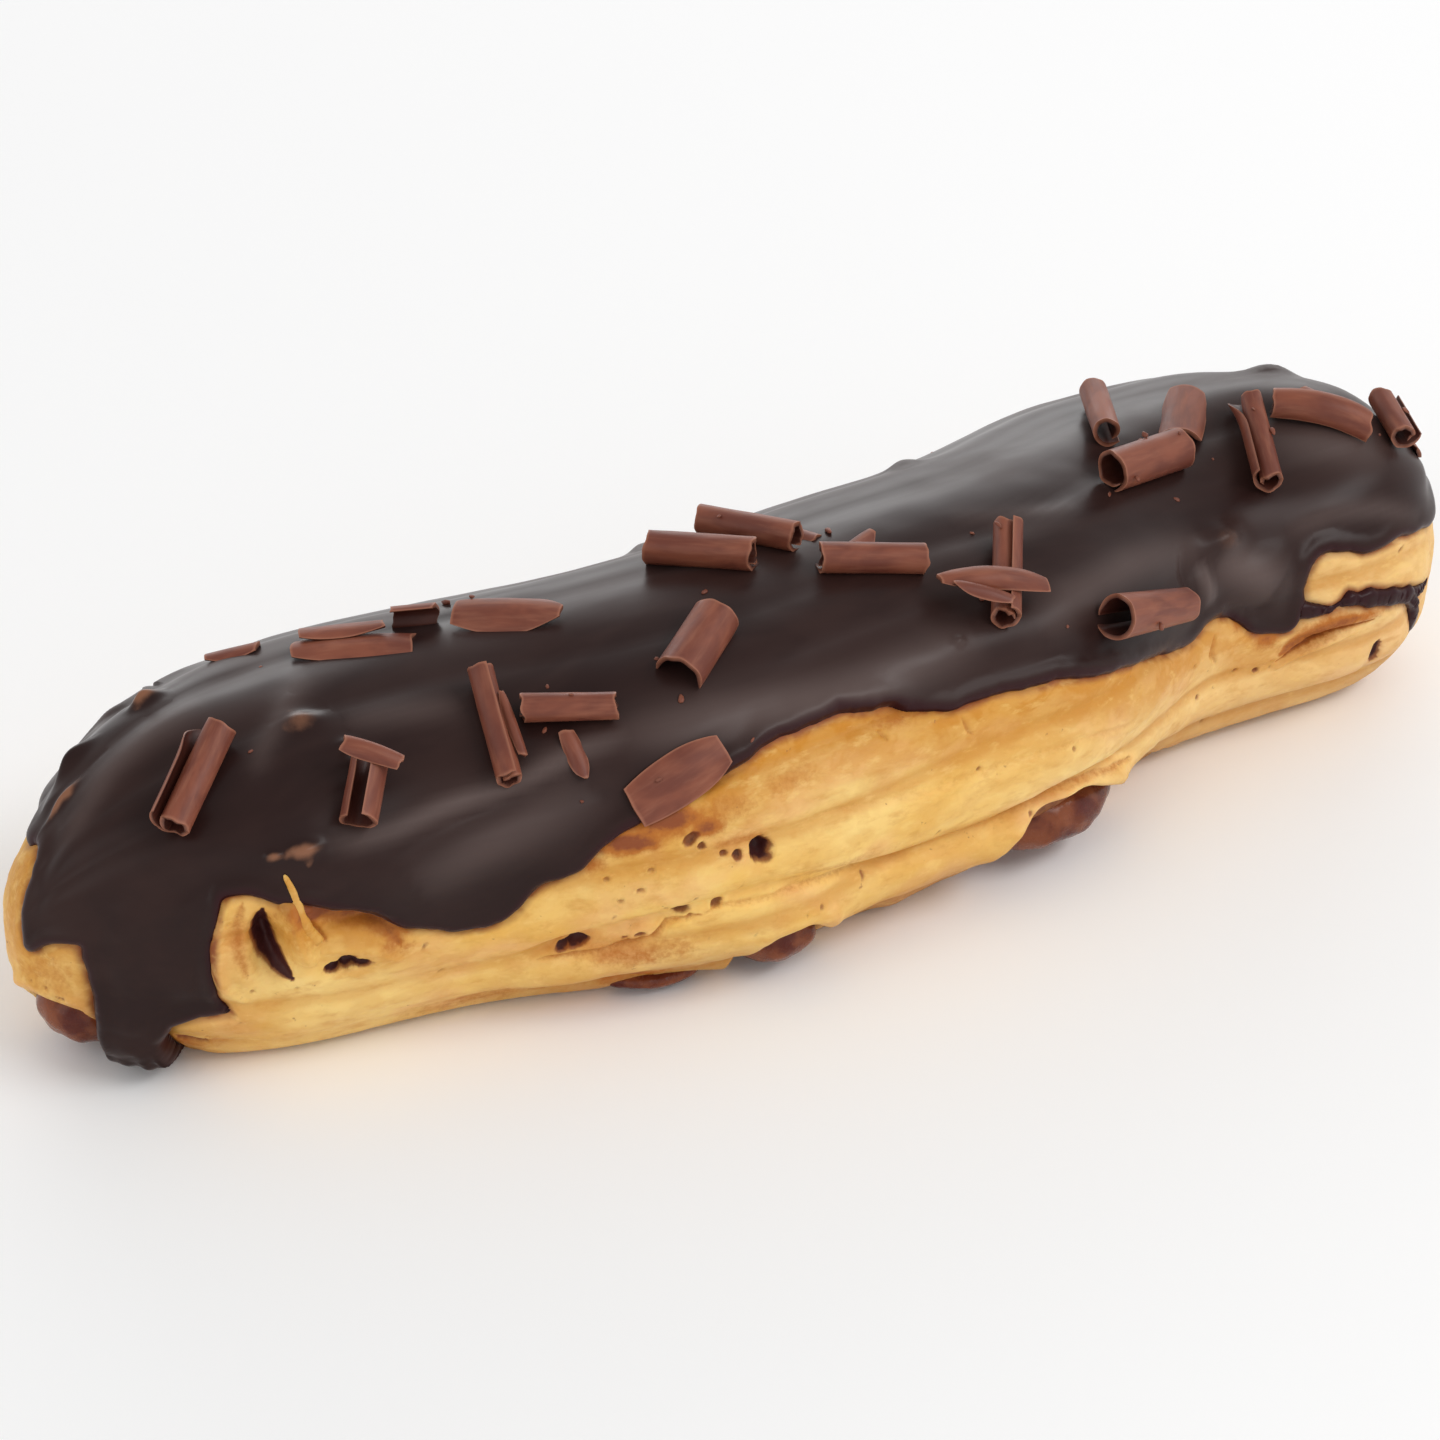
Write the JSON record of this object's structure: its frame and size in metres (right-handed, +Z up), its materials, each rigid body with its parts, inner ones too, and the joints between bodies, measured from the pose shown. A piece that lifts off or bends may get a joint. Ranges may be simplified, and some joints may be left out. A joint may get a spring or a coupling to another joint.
{
  "type": "hazelnut chocolate eclair",
  "caption": "Oblong choux pastry with poured dark chocolate icing on top, rolled milk chocolate curls scattered on it and hazelnut chocolate filling showing at the foot.",
  "frame": {"origin": "middle of the whole eclair's box in plan, on the plane of its flat underside", "axes": "+X along the eclair towards its rounder end, +Z up, and -Y towards the side that shows most bare choux"},
  "size_m": [0.1512, 0.0492, 0.0352],
  "materials": {
    "choux": "baked golden choux, dry and slightly rough",
    "icing": "dark chocolate, satin",
    "filling": "hazelnut chocolate cream, glossy",
    "curl": "milk chocolate, satin with fine shaving marks"
  },
  "bodies": {
    "root": {"choux": "choux", "icing": "icing", "filling": "filling", "curl_01": "curl", "curl_02": "curl", "curl_03": "curl", "curl_04": "curl", "curl_05": "curl", "curl_06": "curl", "curl_07": "curl", "curl_08": "curl", "curl_09": "curl", "curl_10": "curl", "curl_11": "curl", "curl_12": "curl", "curl_13": "curl", "curl_14": "curl", "curl_15": "curl", "curl_16": "curl", "curl_17": "curl", "curl_18": "curl", "curl_19": "curl", "curl_20": "curl", "curl_21": "curl", "curl_22": "curl", "curl_23": "curl", "curl_24": "curl", "curl_25": "curl", "curl_26": "curl", "curl_27": "curl"}
  },
  "joints": []
}
